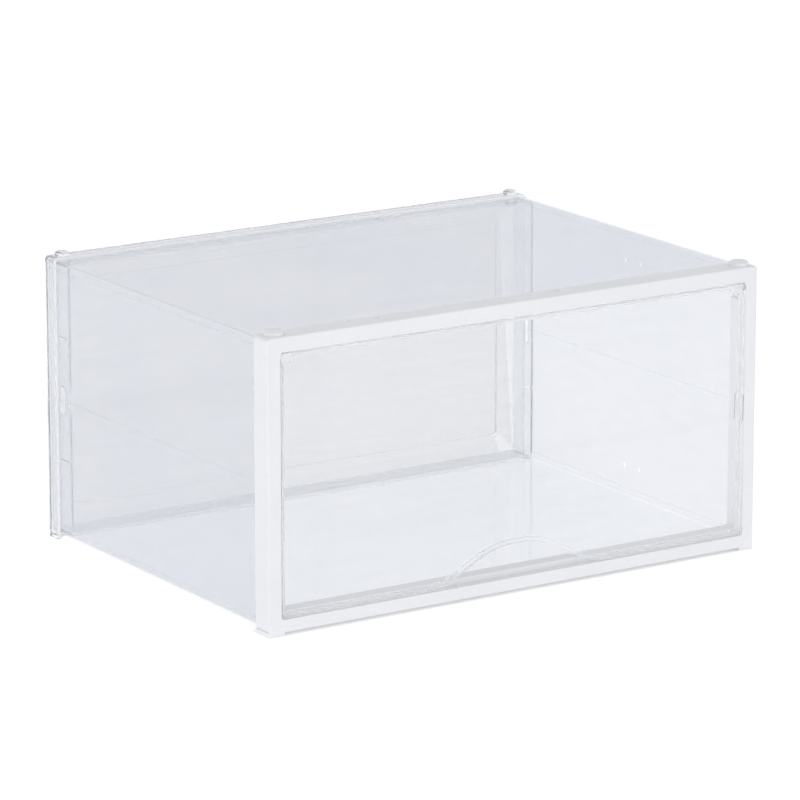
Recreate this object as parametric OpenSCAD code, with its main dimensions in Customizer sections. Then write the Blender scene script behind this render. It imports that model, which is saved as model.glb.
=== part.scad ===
// Front-opening, stackable shoe box: a white front frame with a clear top-hinged door, a
// folding clear sleeve of six leaves, and a clear back cover. Millimetres, +Z up, front at -Y.
// The origin is on the ground under the middle of the box.

/* [Box] */
// Width of the front frame and the back cover
box_w = 343; // [300:1:380]
// Depth from the front face to the back face
box_d = 255; // [220:1:320]
// Height of the front frame and the back cover, without feet and pads
body_h = 173.4; // [150:0.1:220]
// Radius of the four corners, seen from the front
corner_r = 3; // [2.5:0.5:4]

/* [Front frame] */
// Depth of the front frame
frame_d = 14.5; // [13:0.5:18]
// Width of each upright
stile_w = 8.5; // [8:0.1:11]
// Height of the top rail
top_rail_h = 9; // [8.5:0.1:12]
// Height of the bottom rail
bottom_rail_h = 7.7; // [7.5:0.1:10]
// Radius of the upright edges at the front
frame_edge_r = 2; // [1:0.25:2.5]
// Radius of the level edges at the front
rail_edge_r = 1.2; // [0.5:0.1:1.5]

/* [Door] */
// Gap at each side of the door
door_side_gap = 1; // [0.8:0.1:1.2]
// Gap under the door
door_bottom_gap = 0.9; // [0.8:0.1:1.2]
// Gap over the door
door_top_gap = 1.2; // [1.1:0.1:1.4]
// Thickness of the door's plate
door_plate_t = 2; // [1.5:0.1:2.4]
// Depth of the door's rim, plate included
door_rim_d = 4.2; // [4:0.1:4.4]
// Width of the door's rim
door_rim_w = 2.2; // [1.8:0.1:2.6]
// Width of the finger arch
arch_w = 119; // [80:1:140]
// Height of the finger arch
arch_h = 19.5; // [14:0.5:26]
// Diameter of the door's hinge pins
pin_d = 4; // [3.6:0.1:4.2]
// Radial clearance of the hinge pins
pin_gap = 0.06; // [0.03:0.01:0.09]

/* [Sleeve] */
// Thickness of the sheet
sheet_t = 0.9; // [0.7:0.1:1]
// Distance from the frame's outside to the sheet's outside
sheet_inset = 1.8; // [1.8:0.1:2.2]
// Height of the turned edges of the top and bottom leaves
turned_edge_h = 5; // [4:0.5:8]
// Diameter of the holes for a stacking clip
clip_hole_d = 3.2; // [2.8:0.1:3.6]
// Spacing of the two holes for a stacking clip
clip_hole_pitch = 15.5; // [12:0.5:20]
// Height from the sleeve's top or bottom to the clip holes
clip_hole_drop = 19.5; // [15:0.5:25]

/* [Back cover] */
// Depth of the outer flange
flange_d = 10.4; // [9.8:0.2:14]
// Length of the inner spigot beyond the flange
spigot_l = 12; // [10:0.5:16]
// Thickness of the back plate
back_t = 1.8; // [1.6:0.1:2.2]
// Distance from the outside to the recessed field
field_inset = 15; // [12:1:24]
// Depth of the recessed field
field_depth = 1; // [0.6:0.1:1.2]

/* [Stacking] */
// Height of the feet
foot_h = 1.6; // [1.2:0.1:2]
// Height of the stacking pads
pad_h = 2.6; // [2.4:0.1:3]
// Distance from the side to the middle of a pad
pad_x = 9; // [8.8:0.1:10]
// Diameter of the front pads
front_pad_d = 12; // [10:0.5:12]
// Diameter of the back pads
back_pad_d = 9; // [8:0.5:9]

/* [Hidden] */

WHITE = [0.92, 0.93, 0.95];
CLEAR = [0.86, 0.90, 0.94, 0.45];
HAZY = [0.84, 0.87, 0.93, 0.5];

eps = 0.01;
arc_steps = 6;

half_w = box_w / 2;
y_front = -box_d / 2;
y_back = box_d / 2;
z_low = foot_h;
z_high = foot_h + body_h;
z_mid = (z_low + z_high) / 2;

// Front frame: the front zone holds the door, and the ledge behind it stops the door.
y_frame = y_front + frame_d;
door_recess = 0.6;
door_zone_d = door_recess + door_rim_d + 0.4;
ledge = 1.6;
sill_ledge = 3.8;
face_t = 2.4;
wall_t = 1.8;
groove_in = 1.6;
open_half_w = half_w - stile_w;
open_low = z_low + bottom_rail_h;
open_high = z_high - top_rail_h;
opening_r = 2;
rib_t = 1.2;
rib_pitch = 30;
rib_inset = 3.2;
rib_setback = 1;
catch_h = 16;
catch_slit = 0.8;
catch_bump = 0.5;
catch_bump_r = 1;
sill_bump_l = 18;
sill_bump_x = 75;
hook_w = 35;
hook_l = 5;
hook_x = box_w / 6;
hook_gap = 0.1;

// Door and hinge.
door_half_w = open_half_w - door_side_gap;
door_low = open_low + door_bottom_gap;
door_high = open_high - door_top_gap;
door_r = 3;
door_y0 = y_front + door_recess;
door_y1 = door_y0 + door_rim_d;
door_edge_r = 1.2;
hinge_y = door_y0 + door_rim_d / 2;
hinge_z = door_high - 2.4;
pin_l = 5;
pin_root = 3;
bore_l = 5.2;
pocket_h = 11.5;
arch_power = 1.25;
arch_steps = 32;

// Sleeve.
sleeve_y0 = y_frame - 6;
sleeve_y1 = y_back - back_t - 0.5;
fold_low = z_low + sheet_inset + turned_edge_h;
fold_high = z_high - sheet_inset - turned_edge_h;
crease = 0.3;
leaf_out = half_w - sheet_inset;
leaf_in = leaf_out - sheet_t;
clip_y = -3;

// Back cover: the sleeve's back edge lies between the flange and the spigot.
flange_t = sheet_inset - 0.1;
spigot_in = sheet_inset + sheet_t + 0.1;
spigot_t = 1.5;
y_flange = y_back - flange_d;
y_spigot = y_flange - spigot_l;
field_r = 5;
nib_proud = sheet_t + 0.3;
nib_l = 8;
nib_t = 1.2;
nib_y = y_flange - nib_l / 2 - 1.5;
nib_slot_gap = 0.4;
lug_h = 17;
lug_l = 4;
side_nib_z = [z_low + 0.28 * body_h, z_low + 0.72 * body_h];
level_nib_x = [-hook_x, hook_x];

foot_w = 10.6;
foot_side_lip = 2.7;
foot_end_lip = 1.5;
front_pad_y = y_front + 7.6;
back_pad_y = y_back - flange_d / 2;
pad_chamfer = 0.9;

// Points of an arc from angle a0 to angle a1.
function arc_pts(cx, cz, r, a0, a1) =
    [for (i = [0 : arc_steps]) let (a = a0 + (a1 - a0) * i / arc_steps)
        [cx + r * cos(a), cz + r * sin(a)]];

// Outline of a rectangle with round corners.
function rect_pts(x0, z0, x1, z1, r) = concat(
    arc_pts(x1 - r, z1 - r, r, 0, 90),
    arc_pts(x0 + r, z1 - r, r, 90, 180),
    arc_pts(x0 + r, z0 + r, r, 180, 270),
    arc_pts(x1 - r, z0 + r, r, 270, 360));

// Outline of the box's body, moved in by a distance, seen from the front.
function body_pts(inset) =
    rect_pts(inset - half_w, z_low + inset, half_w - inset, z_high - inset,
             max(corner_r - inset, 0.5));

// Height of the finger arch's curve at x: a flat-topped bell.
function arch_z(x, w, h) = h / 2 * (1 + cos(180 * pow(min(abs(2 * x / w), 1), arch_power)));

// Outline of the door, moved in by a distance, with the arch in its lower edge.
function door_pts(inset) =
    let (
        x1 = door_half_w - inset,
        z0 = door_low + inset,
        z1 = door_high - inset,
        r = door_r - inset / 2,
        w = arch_w + inset * 1.2)
    concat(
        arc_pts(x1 - r, z1 - r, r, 0, 90),
        arc_pts(r - x1, z1 - r, r, 90, 180),
        arc_pts(r - x1, z0 + r, r, 180, 270),
        [for (i = [0 : arch_steps]) let (x = w * (i / arch_steps - 0.5))
            [x, z0 + arch_z(x, w, arch_h)]],
        arc_pts(x1 - r, z0 + r, r, 270, 360));

// Extrudes a front-view outline from y0 to y1.
module slab(points, y0, y1) {
    translate([0, y1, 0])
        rotate([90, 0, 0])
            linear_extrude(height = y1 - y0)
                polygon(points);
}

// A ring between two front-view outlines.
module ring(outer, inner, y0, y1) {
    difference() {
        slab(outer, y0, y1);
        slab(inner, y0 - 1, y1 + 1);
    }
}

// A box given by its lowest and highest corners.
module block(low, high) {
    translate(low)
        cube(high - low);
}

module mirror_copy() {
    children();
    mirror([1, 0, 0])
        children();
}

// A round stacking pad with a sloping edge, standing on z_high.
module pad(x, y, d) {
    translate([x, y, z_high - eps])
        cylinder(h = pad_h - pad_chamfer + eps, d = d, $fn = 48);
    translate([x, y, z_high + pad_h - pad_chamfer])
        cylinder(h = pad_chamfer, d1 = d, d2 = d - 2.4, $fn = 48);
}

// An L-shaped corner foot: the pad of the box below fits inside the L.
module foot(y0, y1, lip_y0, lip_y1) {
    difference() {
        block([half_w - foot_w, y0, 0], [half_w, y1, z_low + 1]);
        block([half_w - foot_w - 1, lip_y0, -1], [half_w - foot_side_lip, lip_y1, z_low]);
    }
}

// Keeps what lies inside the frame's plan, with the upright edges round at the front.
module round_plan() {
    intersection() {
        children();
        linear_extrude(height = z_high + pad_h)
            polygon(concat(
                [[half_w, y_frame], [-half_w, y_frame]],
                arc_pts(frame_edge_r - half_w, y_front + frame_edge_r, frame_edge_r, 180, 270),
                arc_pts(half_w - frame_edge_r, y_front + frame_edge_r, frame_edge_r, 270, 360)));
    }
}

// Keeps what lies inside the rails' side view, with the level edges round at the front.
module round_profile() {
    intersection() {
        children();
        rotate([90, 0, 90])
            linear_extrude(height = box_w + 2, center = true)
                polygon(concat(
                    [[y_frame + 1, z_low], [y_frame + 1, z_high]],
                    arc_pts(y_front + rail_edge_r, z_high - rail_edge_r, rail_edge_r, 90, 180),
                    arc_pts(y_front + rail_edge_r, z_low + rail_edge_r, rail_edge_r, 180, 270)));
    }
}

// The frame's shell: face, outer wall and inner wall, open at the back.
module frame_shell() {
    difference() {
        slab(body_pts(0), y_front, y_frame);
        slab(rect_pts(-open_half_w, open_low, open_half_w, open_high, opening_r),
             y_front - 1, y_front + door_zone_d);
        slab(rect_pts(ledge - open_half_w, open_low + sill_ledge,
                      open_half_w - ledge, open_high, opening_r),
             y_front + door_zone_d - 1, y_frame + 1);
        ring(body_pts(groove_in),
             rect_pts(-open_half_w - wall_t, open_low - wall_t,
                      open_half_w + wall_t, open_high + wall_t, opening_r + wall_t),
             y_front + face_t, y_frame + 1);
        block([-open_half_w, y_front + door_zone_d - 1, open_high - pocket_h],
              [open_half_w, y_frame + 1, open_high - opening_r]);
    }
}

// Stiffening ribs between the frame's inner wall and the sleeve's groove.
module frame_ribs() {
    rib_y0 = y_front + face_t - 0.2;
    rib_y1 = y_frame - rib_setback;
    for (x = [-150 : rib_pitch : 150]) {
        block([x - rib_t / 2, rib_y0, open_high + wall_t - 0.2],
              [x + rib_t / 2, rib_y1, z_high - rib_inset]);
        block([x - rib_t / 2, rib_y0, z_low + rib_inset],
              [x + rib_t / 2, rib_y1, open_low - wall_t + 0.2]);
    }
    mirror_copy()
        for (z = [z_mid - 2 * rib_pitch : rib_pitch : z_mid + rib_pitch])
            block([open_half_w + wall_t - 0.2, rib_y0, z + rib_pitch / 2 - rib_t / 2],
                  [half_w - rib_inset, rib_y1, z + rib_pitch / 2 + rib_t / 2]);
}

// A snap catch halfway up each upright: a bump between two slits.
module catch_slits() {
    for (y = [y_front + 1, y_front + 8])
        block([open_half_w - ledge - 1, y, z_mid - catch_h / 2],
              [open_half_w + wall_t + 1, y + catch_slit, z_mid + catch_h / 2]);
}

module catch_bumps() {
    translate([open_half_w + catch_bump_r - catch_bump, y_front + 3.2, z_mid - catch_h / 2])
        cylinder(h = catch_h, r = catch_bump_r, $fn = 32);
}

// Two low bumps on the sill under the door.
module sill_bumps() {
    for (x = [-sill_bump_x, sill_bump_x])
        translate([x - sill_bump_l / 2, y_front + 3.2, open_low + catch_bump - catch_bump_r])
            rotate([0, 90, 0])
                cylinder(h = sill_bump_l, r = catch_bump_r, $fn = 32);
}

// Tongues behind the sill that hold the bottom leaf down.
module sill_hooks() {
    z0 = z_low + sheet_inset + sheet_t + hook_gap;
    for (x = [-hook_x, hook_x])
        block([x - hook_w / 2, y_frame - 1, z0], [x + hook_w / 2, y_frame + hook_l, z0 + 1.4]);
    for (x = [-hook_x, hook_x])
        block([x - hook_w / 2, y_frame - 1.4, z0], [x + hook_w / 2, y_frame, open_low]);
}

module front_frame() {
    color(WHITE)
    difference() {
        union() {
            round_plan()
                union() {
                    round_profile()
                        frame_shell();
                    mirror_copy()
                        block([open_half_w, y_front + 1, hinge_z - 5],
                              [half_w - 0.5, y_front + 7.6, hinge_z + 5]);
                    mirror_copy()
                        foot(y_front, y_frame, y_front + foot_end_lip, y_frame + 1);
                }
            frame_ribs();
            mirror_copy()
                catch_bumps();
            sill_bumps();
            sill_hooks();
            mirror_copy()
                pad(half_w - pad_x, front_pad_y, front_pad_d);
        }
        mirror_copy()
            catch_slits();
        mirror_copy()
            translate([open_half_w - 1, hinge_y, hinge_z])
                rotate([0, 90, 0])
                    cylinder(h = bore_l + 1, r = pin_d / 2 + pin_gap, $fn = 64);
    }
}

// The door's plate, its rim and the thicker corners that carry the pins.
module door_body() {
    slab(door_pts(0), door_y0, door_y0 + door_plate_t);
    ring(door_pts(0), door_pts(door_rim_w), door_y0 + door_plate_t - 0.2, door_y1);
    mirror_copy()
        block([door_half_w - 9, door_y0, hinge_z - 3.6], [door_half_w - 0.5, door_y1, hinge_z + 2]);
}

module door() {
    color(CLEAR)
    union() {
        intersection() {
            door_body();
            rotate([90, 0, 90])
                linear_extrude(height = 2 * half_w, center = true)
                    polygon(concat(
                        [[door_y0, door_low - 1], [door_y1, door_low - 1]],
                        arc_pts(door_y1 - door_edge_r, door_high - door_edge_r, door_edge_r, 0, 90),
                        arc_pts(door_y0 + door_edge_r, door_high - door_edge_r, door_edge_r,
                                90, 180)));
        }
        mirror_copy()
            translate([door_half_w - pin_root, hinge_y, hinge_z])
                rotate([0, 90, 0])
                    cylinder(h = pin_root + pin_l, d = pin_d, $fn = 64);
    }
}

// Slots in the sleeve for the back cover's nibs.
module level_slots(z) {
    for (x = level_nib_x)
        block([x - nib_t / 2 - nib_slot_gap, nib_y - nib_l / 2 - nib_slot_gap, z - 3],
              [x + nib_t / 2 + nib_slot_gap, nib_y + nib_l / 2 + nib_slot_gap, z + 3]);
}

// The top leaf with its two turned edges. The bottom leaf is its mirror image.
module level_leaf() {
    difference() {
        ring(body_pts(sheet_inset), body_pts(sheet_inset + sheet_t), sleeve_y0, sleeve_y1);
        block([-half_w, sleeve_y0 - 1, z_low - 1], [half_w, sleeve_y1 + 1, fold_high]);
        level_slots(z_high - sheet_inset);
    }
}

module top_leaf() {
    color(HAZY)
        level_leaf();
}

module bottom_leaf() {
    color(HAZY)
        translate([0, 0, 2 * z_mid])
            mirror([0, 0, 1])
                level_leaf();
}

// A flat side leaf between two folds, with the fold grooves along its outer edges.
module side_leaf(z0, z1, nib_z, hole_z) {
    difference() {
        slab([[leaf_in, z0], [leaf_out - crease, z0], [leaf_out, z0 + crease],
              [leaf_out, z1 - crease], [leaf_out - crease, z1], [leaf_in, z1]],
             sleeve_y0, sleeve_y1);
        block([leaf_in - 1, nib_y - nib_l / 2 - nib_slot_gap, nib_z - nib_t / 2 - nib_slot_gap],
              [leaf_out + 1, nib_y + nib_l / 2 + nib_slot_gap, nib_z + nib_t / 2 + nib_slot_gap]);
        block([leaf_in - 1, nib_y - lug_l / 2 - nib_slot_gap, z_mid - lug_h / 2 - nib_slot_gap],
              [leaf_out + 1, nib_y + lug_l / 2 + nib_slot_gap, z_mid + lug_h / 2 + nib_slot_gap]);
        for (y = [clip_y - clip_hole_pitch / 2, clip_y + clip_hole_pitch / 2])
            translate([leaf_in - 1, y, hole_z])
                rotate([0, 90, 0])
                    cylinder(h = sheet_t + 2, d = clip_hole_d, $fn = 48);
    }
}

module right_upper_leaf() {
    color(HAZY)
        side_leaf(z_mid, fold_high, side_nib_z[1], z_high - sheet_inset - clip_hole_drop);
}

module right_lower_leaf() {
    color(HAZY)
        side_leaf(fold_low, z_mid, side_nib_z[0], z_low + sheet_inset + clip_hole_drop);
}

module left_upper_leaf() {
    color(HAZY)
        mirror([1, 0, 0])
            side_leaf(z_mid, fold_high, side_nib_z[1], z_high - sheet_inset - clip_hole_drop);
}

module left_lower_leaf() {
    color(HAZY)
        mirror([1, 0, 0])
            side_leaf(fold_low, z_mid, side_nib_z[0], z_low + sheet_inset + clip_hole_drop);
}

// The back plate, with its field pressed inwards.
module back_plate() {
    difference() {
        union() {
            slab(body_pts(0), y_back - back_t, y_back);
            slab(rect_pts(field_inset - half_w, z_low + field_inset,
                          half_w - field_inset, z_high - field_inset, field_r),
                 y_back - back_t - field_depth, y_back - back_t + 0.1);
        }
        slab(rect_pts(field_inset + back_t - half_w, z_low + field_inset + back_t,
                      half_w - field_inset - back_t, z_high - field_inset - back_t,
                      field_r - back_t),
             y_back - field_depth, y_back + 1);
    }
}

// Nibs on the spigot that catch in the sleeve's slots.
module nibs() {
    face = half_w - spigot_in;
    mirror_copy() {
        for (z = side_nib_z)
            block([face - 0.5, nib_y - nib_l / 2, z - nib_t / 2],
                  [face + nib_proud, nib_y + nib_l / 2, z + nib_t / 2]);
        block([face - 0.5, nib_y - lug_l / 2, z_mid - lug_h / 2],
              [face + nib_proud, nib_y + lug_l / 2, z_mid + lug_h / 2]);
    }
    for (x = level_nib_x) {
        block([x - nib_t / 2, nib_y - nib_l / 2, z_high - spigot_in - 0.5],
              [x + nib_t / 2, nib_y + nib_l / 2, z_high - spigot_in + nib_proud]);
        block([x - nib_t / 2, nib_y - nib_l / 2, z_low + spigot_in - nib_proud],
              [x + nib_t / 2, nib_y + nib_l / 2, z_low + spigot_in + 0.5]);
    }
}

module back_cover() {
    color(CLEAR)
    union() {
        back_plate();
        ring(body_pts(0), body_pts(flange_t), y_flange, y_back - back_t + 0.1);
        ring(body_pts(spigot_in), body_pts(spigot_in + spigot_t),
             y_spigot, y_back - back_t + 0.1);
        nibs();
        mirror_copy() {
            pad(half_w - pad_x, back_pad_y, back_pad_d);
            foot(y_flange, y_back, y_flange - 1, y_back - foot_end_lip);
        }
    }
}

front_frame();
door();
top_leaf();
bottom_leaf();
left_upper_leaf();
left_lower_leaf();
right_upper_leaf();
right_lower_leaf();
back_cover();
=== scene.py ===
import math

import bmesh
import bpy
from mathutils import Matrix, Vector


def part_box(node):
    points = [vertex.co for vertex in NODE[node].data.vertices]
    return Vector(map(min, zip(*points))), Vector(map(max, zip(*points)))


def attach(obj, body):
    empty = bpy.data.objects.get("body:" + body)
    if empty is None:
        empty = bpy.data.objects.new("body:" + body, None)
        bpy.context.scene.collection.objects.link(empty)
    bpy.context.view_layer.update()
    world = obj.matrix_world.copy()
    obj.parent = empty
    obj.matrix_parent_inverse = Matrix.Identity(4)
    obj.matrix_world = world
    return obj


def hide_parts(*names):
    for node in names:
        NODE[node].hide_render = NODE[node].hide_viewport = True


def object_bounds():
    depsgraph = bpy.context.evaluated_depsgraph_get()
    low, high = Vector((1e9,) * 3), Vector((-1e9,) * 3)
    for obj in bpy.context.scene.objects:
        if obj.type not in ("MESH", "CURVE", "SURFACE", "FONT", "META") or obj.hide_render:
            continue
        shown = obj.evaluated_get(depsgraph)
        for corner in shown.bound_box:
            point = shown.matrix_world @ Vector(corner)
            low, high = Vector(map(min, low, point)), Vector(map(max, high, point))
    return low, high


MM = 0.001

# Plastics. FACE_SHARE is how much of the passing light each face of a clear piece lets through.
# A thin sheet mirrors FACE_GLOSS of the light face on, and up to EDGE_GLOSS more edge on.
PLASTIC_IOR = 1.49
HAZE_IOR = 1.3
FACE_SHARE = 0.985
FACE_GLOSS = 0.04
EDGE_GLOSS = 0.7
EDGE_POWER = 4.0
NOISE_LOW, NOISE_HIGH = 0.3, 0.7

# Mouldings. Points within WELD are joined, and faces that turn less than FLAT_TURN become one.
# Edges are rounded where they turn by more than ROUNDED_TURN, are longer than SHORT_EDGE, and
# lie between faces that are wider than NARROW_FACE radii. Shading breaks at SHARP_TURN.
FRAME_EDGE_R = 0.22 * MM
CLEAR_EDGE_R = 0.25 * MM
ROUNDED_TURN = math.radians(50)
SHORT_EDGE = 2 * MM
NARROW_FACE = 3
WELD = 0.002 * MM
FLAT_TURN = math.radians(0.5)
SHARP_TURN = math.radians(32)

# A clear moulding's faces with more area than FIELD_AREA are wide, and the others are rims.
FIELD_AREA = (90 * MM) ** 2
WIDE, RIM = 0, 1

# Stage. Azimuth 0 is the front and 90 the right, in degrees.
WALL_GLOW = 1.0
CEILING_GLOW = 0.58
FLOOR_GLOW = 0.32
# The floor glows only this much under the frame: a painted shadow strip along its contact line.
PAINTED_SHADOW_GLOW = 0.17
FLOOR_REACH = 8
FLOOR_GAP = 0.2 * MM
LIGHT_DISTANCE = 2.4
LENS = 228
CAMERA_AZIMUTH, CAMERA_ELEVATION, CAMERA_DISTANCE = -33, 14.3, 3.05

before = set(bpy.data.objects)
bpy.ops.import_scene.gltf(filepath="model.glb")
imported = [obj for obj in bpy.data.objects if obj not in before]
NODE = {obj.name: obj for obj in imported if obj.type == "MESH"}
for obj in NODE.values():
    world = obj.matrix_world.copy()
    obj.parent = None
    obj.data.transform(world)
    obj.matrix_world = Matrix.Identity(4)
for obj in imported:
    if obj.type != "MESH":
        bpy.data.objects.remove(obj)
CAD_LOW, CAD_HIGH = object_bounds()

LEAVES = [
    "top_leaf",
    "bottom_leaf",
    "left_upper_leaf",
    "left_lower_leaf",
    "right_upper_leaf",
    "right_lower_leaf",
]


# ---------------------------------------------------------------- materials


class Nodes:
    """A material's node tree, with short calls for the nodes that the plastics share."""

    def __init__(self, name):
        self.material = bpy.data.materials.new(name)
        self.material.use_nodes = True
        self.tree = self.material.node_tree
        self.tree.nodes.clear()
        self.output = self.add("ShaderNodeOutputMaterial")
        self.place = self.add("ShaderNodeTexCoord").outputs["Object"]

    def add(self, kind, **settings):
        node = self.tree.nodes.new(kind)
        for key, value in settings.items():
            setattr(node, key, value)
        return node

    def link(self, source, target):
        self.tree.links.new(source, target)

    def feed(self, node, **inputs):
        """Sets a node's inputs by name, with _ for a space. Sockets are linked, values are set."""
        for key, value in inputs.items():
            socket = node.inputs[key.replace("_", " ")]
            if isinstance(value, bpy.types.NodeSocket):
                self.link(value, socket)
            else:
                socket.default_value = value
        return node

    def noise(self, scale, detail, stretch=(1, 1, 1)):
        mapping = self.feed(self.add("ShaderNodeMapping"), Vector=self.place, Scale=stretch)
        noise = self.add("ShaderNodeTexNoise")
        self.feed(noise, Vector=mapping.outputs[0], Scale=scale, Detail=detail)
        return noise.outputs["Fac"]

    def span(self, noise, low, high):
        """A noise's usual range, as a number from low to high."""
        node = self.add("ShaderNodeMapRange")
        self.feed(node, Value=noise, From_Min=NOISE_LOW, From_Max=NOISE_HIGH)
        self.feed(node, To_Min=low, To_Max=high)
        return node.outputs["Result"]

    def tones(self, noise, low, high):
        """A noise's usual range, as a colour from low to high."""
        ramp = self.add("ShaderNodeValToRGB")
        first, last = ramp.color_ramp.elements
        first.position, first.color = NOISE_LOW, (*low, 1)
        last.position, last.color = NOISE_HIGH, (*high, 1)
        self.link(noise, ramp.inputs[0])
        return ramp.outputs[0]

    def maths(self, operation, a, b):
        node = self.add("ShaderNodeMath", operation=operation)
        for socket, value in zip(node.inputs, (a, b)):
            if isinstance(value, bpy.types.NodeSocket):
                self.link(value, socket)
            else:
                socket.default_value = value
        return node.outputs[0]

    def bump(self, height, distance, strength=1.0):
        node = self.add("ShaderNodeBump")
        self.feed(node, Height=height, Distance=distance, Strength=strength)
        return node.outputs["Normal"]

    def mix(self, share, first, second):
        """first and second mixed, with share of second."""
        node = self.add("ShaderNodeMixShader")
        self.link(share, node.inputs[0])
        self.link(first, node.inputs[1])
        self.link(second, node.inputs[2])
        return node.outputs[0]

    def passing_light(self, shader, share):
        """shader, but light for other surfaces goes straight through, less what each face keeps."""
        clear = self.feed(self.add("ShaderNodeBsdfTransparent"), Color=(share, share, share, 1))
        ray = self.add("ShaderNodeLightPath")
        passing = self.maths("MAXIMUM", ray.outputs["Is Shadow Ray"], ray.outputs["Is Diffuse Ray"])
        return self.mix(passing, shader, clear.outputs[0])

    def finish(self, shader):
        self.link(shader, self.output.inputs["Surface"])
        return self.material


def white_plastic():
    """Satin white moulding: nearly even tone, a fine moulded grain and slow waves in the gloss."""
    n = Nodes("white_plastic")
    grain = n.noise(700, 2)
    flow = n.noise(14, 2, (1, 1, 2.5))
    principled = n.add("ShaderNodeBsdfPrincipled")
    n.feed(
        principled,
        Base_Color=n.tones(flow, (0.825, 0.83, 0.84), (0.85, 0.854, 0.862)),
        Roughness=n.span(n.noise(40, 2), 0.27, 0.34),
        Normal=n.bump(grain, 0.004 * MM, 0.5),
        IOR=PLASTIC_IOR,
    )
    return n.finish(principled.outputs[0])


class Clear(Nodes):
    """A clear plastic's nodes: slow clouds and streaks, a rippled surface, and haze inside."""

    def __init__(self, name, ripple):
        super().__init__(name)
        self.cloud = self.noise(9, 3)
        self.streak = self.noise(45, 3, (0.25, 1, 3))
        self.wave = self.bump(self.noise(14, 1), ripple)

    def haze(self, tone, rough):
        """The light that the plastic scatters, in streaks a little darker than tone."""
        streaks = self.tones(self.streak, [0.96 * c for c in tone], tone)
        haze = self.add("ShaderNodeBsdfPrincipled")
        self.feed(haze, Base_Color=streaks, Roughness=rough, IOR=HAZE_IOR, Normal=self.wave)
        return haze.outputs[0]

    def fine_rough(self, rough, spread):
        """Roughness that varies finely around rough, by that share of it."""
        return self.span(self.noise(120, 4), rough * (1 - spread), rough * (1 + spread))


def thin_plastic(name, tint, haze, haze_tone, rough, ripple):
    """Thin clear plastic: tinted, with a share of scattering haze, and more gloss edge on."""
    n = Clear(name, ripple)
    clear = n.add("ShaderNodeBsdfTransparent")
    n.feed(clear, Color=n.tones(n.cloud, *tint))
    body = n.mix(n.span(n.streak, *haze), clear.outputs[0], n.haze(haze_tone, 0.55))

    gloss = n.add("ShaderNodeBsdfGlossy")
    n.feed(gloss, Color=n.tones(n.cloud, (0.93, 0.94, 0.96), (0.97, 0.975, 0.985)), Normal=n.wave)
    n.feed(gloss, Roughness=n.fine_rough(rough, 0.3))

    facing = n.add("ShaderNodeLayerWeight")
    n.feed(facing, Blend=0.5)
    rim = n.maths("POWER", facing.outputs["Facing"], EDGE_POWER)
    mirror = n.maths("ADD", n.maths("MULTIPLY", rim, EDGE_GLOSS), FACE_GLOSS)
    return n.finish(n.passing_light(n.mix(mirror, body, gloss.outputs[0]), FACE_SHARE))


def thick_plastic(name, tint, haze, haze_tone, rough, ripple):
    """Thick clear plastic: it bends what is seen through it, and has a share of scattering haze."""
    n = Clear(name, ripple)
    glass = n.add("ShaderNodeBsdfPrincipled")
    n.feed(glass, Base_Color=n.tones(n.cloud, *tint), Roughness=n.fine_rough(rough, 0.4))
    n.feed(glass, Transmission_Weight=1.0, IOR=PLASTIC_IOR, Normal=n.wave)
    body = n.mix(n.span(n.streak, *haze), glass.outputs[0], n.haze(haze_tone, 0.5))
    return n.finish(n.passing_light(body, FACE_SHARE))


WHITE = white_plastic()
DOOR = thick_plastic(
    "clear_door",
    tint=((0.975, 0.98, 0.984), (0.984, 0.987, 0.99)),
    haze=(0.0, 0.02),
    haze_tone=(0.86, 0.88, 0.90),
    rough=0.02,
    ripple=0.1 * MM,
)
DOOR_RIM = thick_plastic(
    "clear_door_rim",
    tint=((0.965, 0.97, 0.975), (0.975, 0.98, 0.985)),
    haze=(0.30, 0.38),
    haze_tone=(0.92, 0.93, 0.94),
    rough=0.10,
    ripple=0.03 * MM,
)
SHEET = thin_plastic(
    "hazy_sheet",
    tint=((0.932, 0.937, 0.947), (0.945, 0.949, 0.958)),
    haze=(0.10, 0.12),
    haze_tone=(0.80, 0.815, 0.86),
    rough=0.09,
    ripple=0.4 * MM,
)
# The bottom leaf is the same sheet as the walls, on a clearer, less hazy copy of its plastic:
# painted light, so the floor seen through it looks as bright as the lit ground under it.
FLOOR_SHEET_PAINTED_LIGHT = thin_plastic(
    "floor_sheet_painted_light",
    tint=((0.970, 0.975, 0.982), (0.978, 0.982, 0.988)),
    haze=(0.03, 0.06),
    haze_tone=(0.86, 0.875, 0.91),
    rough=0.09,
    ripple=0.4 * MM,
)
FOLD = thin_plastic(
    "fold_line",
    tint=((0.90, 0.91, 0.93), (0.93, 0.94, 0.955)),
    haze=(0.30, 0.45),
    haze_tone=(0.88, 0.90, 0.94),
    rough=0.15,
    ripple=0.2 * MM,
)
COVER_RIM = thick_plastic(
    "clear_cover",
    tint=((0.955, 0.96, 0.968), (0.965, 0.968, 0.975)),
    haze=(0.10, 0.16),
    haze_tone=(0.90, 0.91, 0.92),
    rough=0.015,
    ripple=0.03 * MM,
)
COVER_FIELD = thick_plastic(
    "cover_field",
    tint=((0.765, 0.77, 0.78), (0.785, 0.79, 0.80)),
    haze=(0.10, 0.15),
    haze_tone=(0.85, 0.865, 0.89),
    rough=0.04,
    ripple=0.3 * MM,
)


# ------------------------------------------------------------------- pieces


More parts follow.
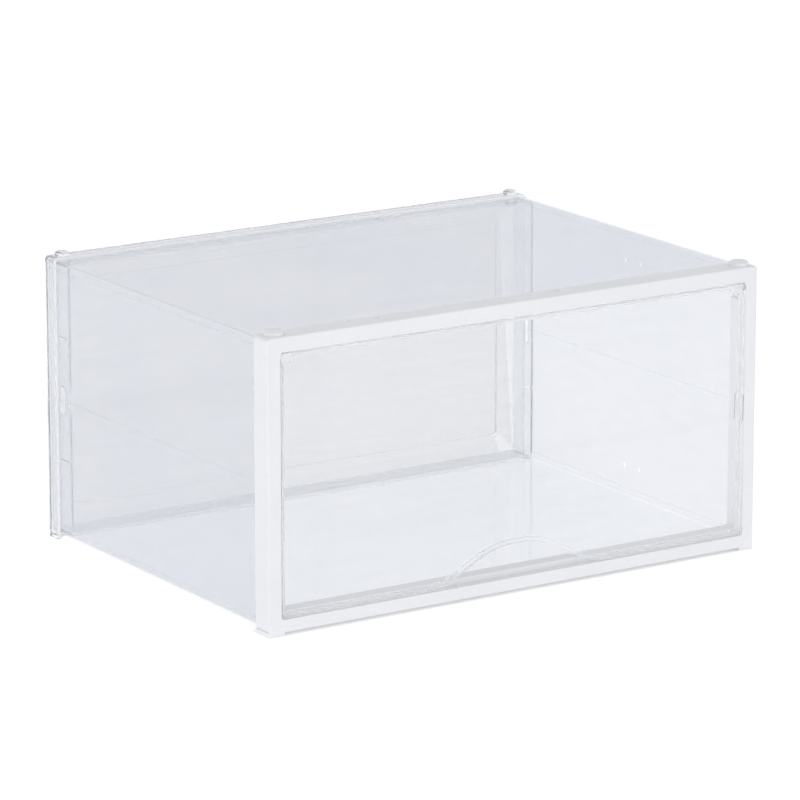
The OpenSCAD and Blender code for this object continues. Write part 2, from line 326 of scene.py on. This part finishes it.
def new_piece(name, built, materials, slot, body, *nodes):
    """A shown piece from a bmesh, which is freed. It rides on body and stands for the CAD nodes."""
    mesh = bpy.data.meshes.new(name)
    bmesh.ops.recalc_face_normals(built, faces=built.faces)
    built.to_mesh(mesh)
    built.free()
    if "custom_normal" in mesh.attributes:
        mesh.attributes.remove(mesh.attributes["custom_normal"])
    mesh.shade_smooth()
    mesh.set_sharp_from_angle(angle=SHARP_TURN)
    for material in materials:
        mesh.materials.append(material)
    obj = bpy.data.objects.new(name, mesh)
    bpy.context.scene.collection.objects.link(obj)
    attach(obj, body)
    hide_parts(*nodes)
    flat = obj.modifiers.new("flat_faces", "WEIGHTED_NORMAL")
    flat.keep_sharp = True
    flat.weight = 100


def moulding(node, edge_r):
    """A bmesh of a CAD node as a moulding: each flat face in one piece, and rounded edges."""
    built = bmesh.new()
    built.from_mesh(NODE[node].data)
    bmesh.ops.remove_doubles(built, verts=built.verts, dist=WELD)
    bmesh.ops.dissolve_limit(built, angle_limit=FLAT_TURN, verts=built.verts, edges=built.edges)
    sharp = [
        e
        for e in built.edges
        if len(e.link_faces) == 2
        and e.calc_face_angle(0) > ROUNDED_TURN
        and e.calc_length() > SHORT_EDGE
        and min(f.calc_area() for f in e.link_faces) > NARROW_FACE * edge_r * e.calc_length()
    ]
    bmesh.ops.bevel(
        built,
        geom=sharp,
        offset=edge_r,
        offset_type="OFFSET",
        segments=2,
        profile=0.6,
        affect="EDGES",
        clamp_overlap=False,
        material=-1,
    )
    return built


ring = moulding("front_frame", FRAME_EDGE_R)
new_piece("front_frame_moulding", ring, [WHITE], "white_frame", "box", "front_frame")


# ------------------------------------------------------------------- sleeve

WALL, EDGE, BOTTOM = 0, 1, 2
SHEET_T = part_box("right_upper_leaf")[1].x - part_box("right_upper_leaf")[0].x
SLEEVE_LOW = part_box("bottom_leaf")[0]
SLEEVE_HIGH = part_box("top_leaf")[1]
FOLDS = [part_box("bottom_leaf")[1].z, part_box("left_upper_leaf")[0].z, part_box("top_leaf")[0].z]
CREASE = 0.3 * MM
CORNER_R = 1.2 * MM
TALL_LEAF = 20 * MM

# Steps of the sleeve's mesh around a corner, across, up a leaf and along its depth.
CORNER_STEPS = 6
LEVEL_STEPS = 16
LEAF_STEPS = 6
DEPTH_STEPS = 22

# The sheet is loose over this share of its depth, between the frame's groove and the cover.
LOOSE_START, LOOSE_LENGTH = 0.04, 0.86
BOW = 0.55 * MM
SAG = 0.6 * MM

# Holes for clips, and slots for the cover's nibs and lugs as (width, height) on the side walls.
# The cover's body reaches SHEET_INSET past the sleeve. On the top and bottom the nibs are a sixth
# of the box's width from its middle, and on the sides they are at NIB_HEIGHTS of the body.
CLIP_Y = -3 * MM
CLIP_PITCH = 15.5 * MM
CLIP_R = 1.6 * MM
CLIP_DROP = 19.5 * MM
NIB_Y = 111.6 * MM
NIB_X = (CAD_HIGH.x - CAD_LOW.x) / 6
NIB_HEIGHTS = (0.28, 0.72)
NIB_SLOT = (8.8 * MM, 2.0 * MM)
LUG_SLOT = (4.8 * MM, 17.8 * MM)
SHEET_INSET = 1.8 * MM
CUT_DEPTH = 6 * MM

# Marks on the door's inner face, as (from the upper and lower edge, from the side, radius).
DOOR_PIN = 5 * MM
DOOR_PLATE = 2 * MM
MARK_DEPTH = 0.15 * MM
EJECTOR_MARKS = [(21 * MM, 12.5 * MM, 2.0 * MM), (9 * MM, 8.5 * MM, 1.3 * MM)]


def section():
    """The sleeve's section seen from the front, clockwise from the top left.

    Its points are (outer point, inner point, is a crease).
    """
    x1, z0, z1 = SLEEVE_HIGH.x, SLEEVE_LOW.z, SLEEVE_HIGH.z
    points = []

    def corner(cx, cz, start):
        for i in range(CORNER_STEPS + 1):
            a = start - math.radians(90) * i / CORNER_STEPS
            way = Vector((math.cos(a), 0, math.sin(a)))
            middle = Vector((cx, 0, cz))
            points.append((middle + way * CORNER_R, middle + way * (CORNER_R - SHEET_T), False))

    def level(z, inner_z, sign):
        half = x1 - CORNER_R
        for i in range(1, LEVEL_STEPS):
            x = sign * half * (2 * i / LEVEL_STEPS - 1)
            points.append((Vector((x, 0, z)), Vector((x, 0, inner_z)), False))

    def side(sign):
        inner = sign * (x1 - SHEET_T)
        heights = []
        stops = [z0 + CORNER_R, *FOLDS, z1 - CORNER_R]
        for low, high in zip(stops, stops[1:]):
            steps = LEAF_STEPS if high - low > TALL_LEAF else 1
            low_z = low + (CREASE if low in FOLDS else 0)
            high_z = high - (CREASE if high in FOLDS else 0)
            if low in FOLDS:
                heights.append((low, True))
                heights.append((low_z, False))
            heights += [(low_z + (high_z - low_z) * i / steps, False) for i in range(1, steps)]
            if high in FOLDS:
                heights.append((high_z, False))
        if sign > 0:
            heights.reverse()
        for z, folded in heights:
            outer = sign * (x1 - (CREASE if folded else 0))
            points.append((Vector((outer, 0, z)), Vector((inner, 0, z)), folded))

    corner(-x1 + CORNER_R, z1 - CORNER_R, math.radians(180))
    level(z1, z1 - SHEET_T, 1)
    corner(x1 - CORNER_R, z1 - CORNER_R, math.radians(90))
    side(1)
    corner(x1 - CORNER_R, z0 + CORNER_R, 0)
    level(z0, z0 + SHEET_T, -1)
    corner(-x1 + CORNER_R, z0 + CORNER_R, math.radians(-90))
    side(-1)
    return points


def bowed(point, y):
    """A point of the section at y, where the side walls belly out and the top sags a little."""
    along = (y - SLEEVE_LOW.y) / (SLEEVE_HIGH.y - SLEEVE_LOW.y)
    loose = min(max((along - LOOSE_START) / LOOSE_LENGTH, 0), 1)
    hold = math.sin(math.pi * loose) ** 0.8
    moved = Vector((point.x, y, point.z))
    across = math.cos(math.pi / 2 * min(abs(point.x) / SLEEVE_HIGH.x, 1))
    if point.z > FOLDS[2]:
        uneven = 0.8 + 0.2 * math.sin(9 * along + 4 * across)
        moved.z -= SAG * hold * across * uneven
    elif point.z > FOLDS[0]:
        height = math.pi * (point.z - FOLDS[0]) / (FOLDS[2] - FOLDS[0])
        belly = math.sin(height) + 0.5 * math.sin(2 * height)
        moved.x += math.copysign(BOW, point.x) * hold * belly
    return moved


def sleeve():
    """The sheet as one closed mesh, with the WALL, EDGE and BOTTOM plastics on its faces."""
    built = bmesh.new()
    shape = section()
    length = SLEEVE_HIGH.y - SLEEVE_LOW.y
    depths = [SLEEVE_LOW.y + length * i / DEPTH_STEPS for i in range(DEPTH_STEPS + 1)]
    outer = [[built.verts.new(bowed(o, y)) for o, _, _ in shape] for y in depths]
    inner = [[built.verts.new(bowed(i, y)) for _, i, _ in shape] for y in depths]

    def quad(a, b, c, d, plastic):
        built.faces.new((a, b, c, d)).material_index = plastic

    for j, start in enumerate(shape):
        k = (j + 1) % len(shape)
        end = shape[k]
        # The bottom faces take the clearer copy of the sheet's plastic, which paints light onto the
        # bottom leaf.
        low = max(start[0].z, end[0].z) < SLEEVE_LOW.z + CORNER_R
        inside = BOTTOM if low else WALL
        outside = EDGE if start[2] or end[2] else inside
        for near in range(DEPTH_STEPS):
            far = near + 1
            quad(outer[near][j], outer[near][k], outer[far][k], outer[far][j], outside)
            quad(inner[near][j], inner[far][j], inner[far][k], inner[near][k], inside)
        for row in (0, DEPTH_STEPS):
            quad(outer[row][j], inner[row][j], inner[row][k], outer[row][k], EDGE)
    return built


def box_cutter(built, centre, size):
    bmesh.ops.create_cube(built, size=1, matrix=Matrix.LocRotScale(centre, None, Vector(size)))


def round_cutter(built, centre, turned_about, radius, depth, segments):
    turn = Matrix.Rotation(math.radians(90), 4, turned_about)
    bmesh.ops.create_cone(
        built,
        cap_ends=True,
        segments=segments,
        radius1=radius,
        radius2=radius,
        depth=depth,
        matrix=Matrix.Translation(centre) @ turn,
    )


def sleeve_cutters():
    """The clip holes and the slots for the cover's nibs and lugs, as one mesh."""
    built = bmesh.new()
    body_low, body_high = SLEEVE_LOW.z - SHEET_INSET, SLEEVE_HIGH.z + SHEET_INSET
    for x in (-SLEEVE_HIGH.x, SLEEVE_HIGH.x):
        for z in (SLEEVE_LOW.z + CLIP_DROP, SLEEVE_HIGH.z - CLIP_DROP):
            for y in (CLIP_Y - CLIP_PITCH / 2, CLIP_Y + CLIP_PITCH / 2):
                round_cutter(built, Vector((x, y, z)), "Y", CLIP_R, CUT_DEPTH, 32)
        for share in NIB_HEIGHTS:
            z = body_low + share * (body_high - body_low)
            box_cutter(built, Vector((x, NIB_Y, z)), (CUT_DEPTH, *NIB_SLOT))
        box_cutter(built, Vector((x, NIB_Y, FOLDS[1])), (CUT_DEPTH, *LUG_SLOT))
    for x in (-NIB_X, NIB_X):
        for z in (SLEEVE_LOW.z, SLEEVE_HIGH.z):
            box_cutter(built, Vector((x, NIB_Y, z)), (NIB_SLOT[1], NIB_SLOT[0], CUT_DEPTH))
    return built


def cut(built, cutters):
    """built with the cutters taken away, as a new bmesh."""
    objects = []
    for part in (built, cutters):
        mesh = bpy.data.meshes.new("scratch")
        part.to_mesh(mesh)
        part.free()
        objects.append(bpy.data.objects.new("scratch", mesh))
        bpy.context.scene.collection.objects.link(objects[-1])
    taken = objects[0].modifiers.new("cut", "BOOLEAN")
    taken.operation, taken.solver, taken.object = "DIFFERENCE", "EXACT", objects[1]
    evaluated = objects[0].evaluated_get(bpy.context.evaluated_depsgraph_get())
    result = bmesh.new()
    result.from_mesh(evaluated.to_mesh())
    for obj in objects:
        bpy.data.objects.remove(obj)
    return result


def door_marks():
    """The recesses that the mould's ejector pins leave on the door's inner face, as one mesh."""
    built = bmesh.new()
    low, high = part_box("door")
    half = (high.x - low.x) / 2 - DOOR_PIN
    for drop, inset, radius in EJECTOR_MARKS:
        for x in (inset - half, half - inset):
            for z in (low.z + drop, high.z - drop):
                spot = Vector((x, low.y + DOOR_PLATE, z))
                round_cutter(built, spot, "X", radius, 2 * MARK_DEPTH, 28)
    return built


def two_tone(node, edge_r):
    """A clear moulding with one plastic on its wide faces and another on its rims."""
    built = moulding(node, edge_r)
    for face in built.faces:
        face.material_index = WIDE if face.calc_area() > FIELD_AREA else RIM
    return built


plate = cut(two_tone("door", CLEAR_EDGE_R), door_marks())
new_piece("door_moulding", plate, [DOOR, DOOR_RIM], "clear_door", "door", "door")
tray = two_tone("back_cover", CLEAR_EDGE_R)
new_piece("back_cover_moulding", tray, [COVER_FIELD, COVER_RIM], "clear_cover", "box", "back_cover")
sheet = cut(sleeve(), sleeve_cutters())
new_piece("folded_sleeve", sheet, [SHEET, FOLD, FLOOR_SHEET_PAINTED_LIGHT], "hazy_sheet", "box", *LEAVES)


# -------------------------------------------------------------------- stage


def floor_material(name, glow):
    n = Nodes(name)
    principled = n.add("ShaderNodeBsdfPrincipled")
    n.feed(
        principled,
        Base_Color=n.tones(n.noise(3, 2), (0.970, 0.970, 0.972), (0.980, 0.980, 0.982)),
        Roughness=0.7,
        Emission_Color=(1, 1, 1, 1),
        Emission_Strength=glow,
    )
    return n.finish(principled.outputs[0])


def make_floor():
    """A white floor that glows a little, and less under the frame: a painted shadow strip that
    keeps a shadow line there.
    """
    frame_low, frame_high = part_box("front_frame")
    xs = (-FLOOR_REACH, frame_low.x, frame_high.x, FLOOR_REACH)
    ys = (-FLOOR_REACH, frame_low.y, frame_high.y, FLOOR_REACH)
    built = bmesh.new()
    rows = [[built.verts.new((x, y, 0)) for x in xs] for y in ys]
    for j, (near, far) in enumerate(zip(rows, rows[1:])):
        for i in range(len(xs) - 1):
            face = built.faces.new((near[i], near[i + 1], far[i + 1], far[i]))
            # The strip under the frame gets the dimmer glow of the painted shadow.
            under_frame = i == 1 and j == 1
            face.material_index = 1 if under_frame else 0
    mesh = bpy.data.meshes.new("floor")
    built.to_mesh(mesh)
    built.free()
    floor = bpy.data.objects.new("floor", mesh)
    bpy.context.scene.collection.objects.link(floor)
    floor.location.z = -FLOOR_GAP
    mesh.materials.append(floor_material("pale_floor", FLOOR_GLOW))
    mesh.materials.append(floor_material("painted_shadow_floor", PAINTED_SHADOW_GLOW))


def make_light(name, size, power, azimuth, elevation, target):
    light = bpy.data.lights.new(name, "AREA")
    light.shape = "RECTANGLE"
    light.size, light.size_y = size
    light.energy = power
    obj = bpy.data.objects.new(name, light)
    bpy.context.scene.collection.objects.link(obj)
    obj.location = target + around(azimuth, elevation) * LIGHT_DISTANCE
    obj.rotation_euler = (target - obj.location).to_track_quat("-Z", "Y").to_euler()


def around(azimuth, elevation):
    """The unit vector from the object towards that azimuth and elevation."""
    a, e = math.radians(azimuth), math.radians(elevation)
    return Vector((math.sin(a) * math.cos(e), -math.cos(a) * math.cos(e), math.sin(e)))


def make_world():
    """A studio that is brighter towards its walls than overhead."""
    world = bpy.data.worlds.new("studio")
    bpy.context.scene.world = world
    world.use_nodes = True
    tree = world.node_tree
    background = tree.nodes["Background"]
    background.inputs["Color"].default_value = (0.965, 0.975, 1.005, 1)
    way = tree.nodes.new("ShaderNodeTexCoord")
    split = tree.nodes.new("ShaderNodeSeparateXYZ")
    height = tree.nodes.new("ShaderNodeMapRange")
    height.inputs["To Min"].default_value = WALL_GLOW
    height.inputs["To Max"].default_value = CEILING_GLOW
    tree.links.new(way.outputs["Generated"], split.inputs[0])
    tree.links.new(split.outputs["Z"], height.inputs["Value"])
    tree.links.new(height.outputs["Result"], background.inputs["Strength"])


def make_camera(target):
    camera = bpy.data.cameras.new("camera")
    camera.lens = LENS
    obj = bpy.data.objects.new("camera", camera)
    bpy.context.scene.collection.objects.link(obj)
    obj.location = target + around(CAMERA_AZIMUTH, CAMERA_ELEVATION) * CAMERA_DISTANCE
    obj.rotation_euler = (target - obj.location).to_track_quat("-Z", "Y").to_euler()
    bpy.context.scene.camera = obj


centre = (CAD_LOW + CAD_HIGH) / 2
make_floor()
make_world()
make_light("key", (1.8, 1.4), 6, -45, 25, centre)
make_light("fill", (1.4, 1.4), 1, 50, 50, centre)
make_camera(centre)
bpy.context.scene.view_settings.view_transform = "Standard"
light_paths = bpy.context.scene.cycles
light_paths.transparent_max_bounces = 32
light_paths.transmission_bounces = 24
light_paths.max_bounces = 24
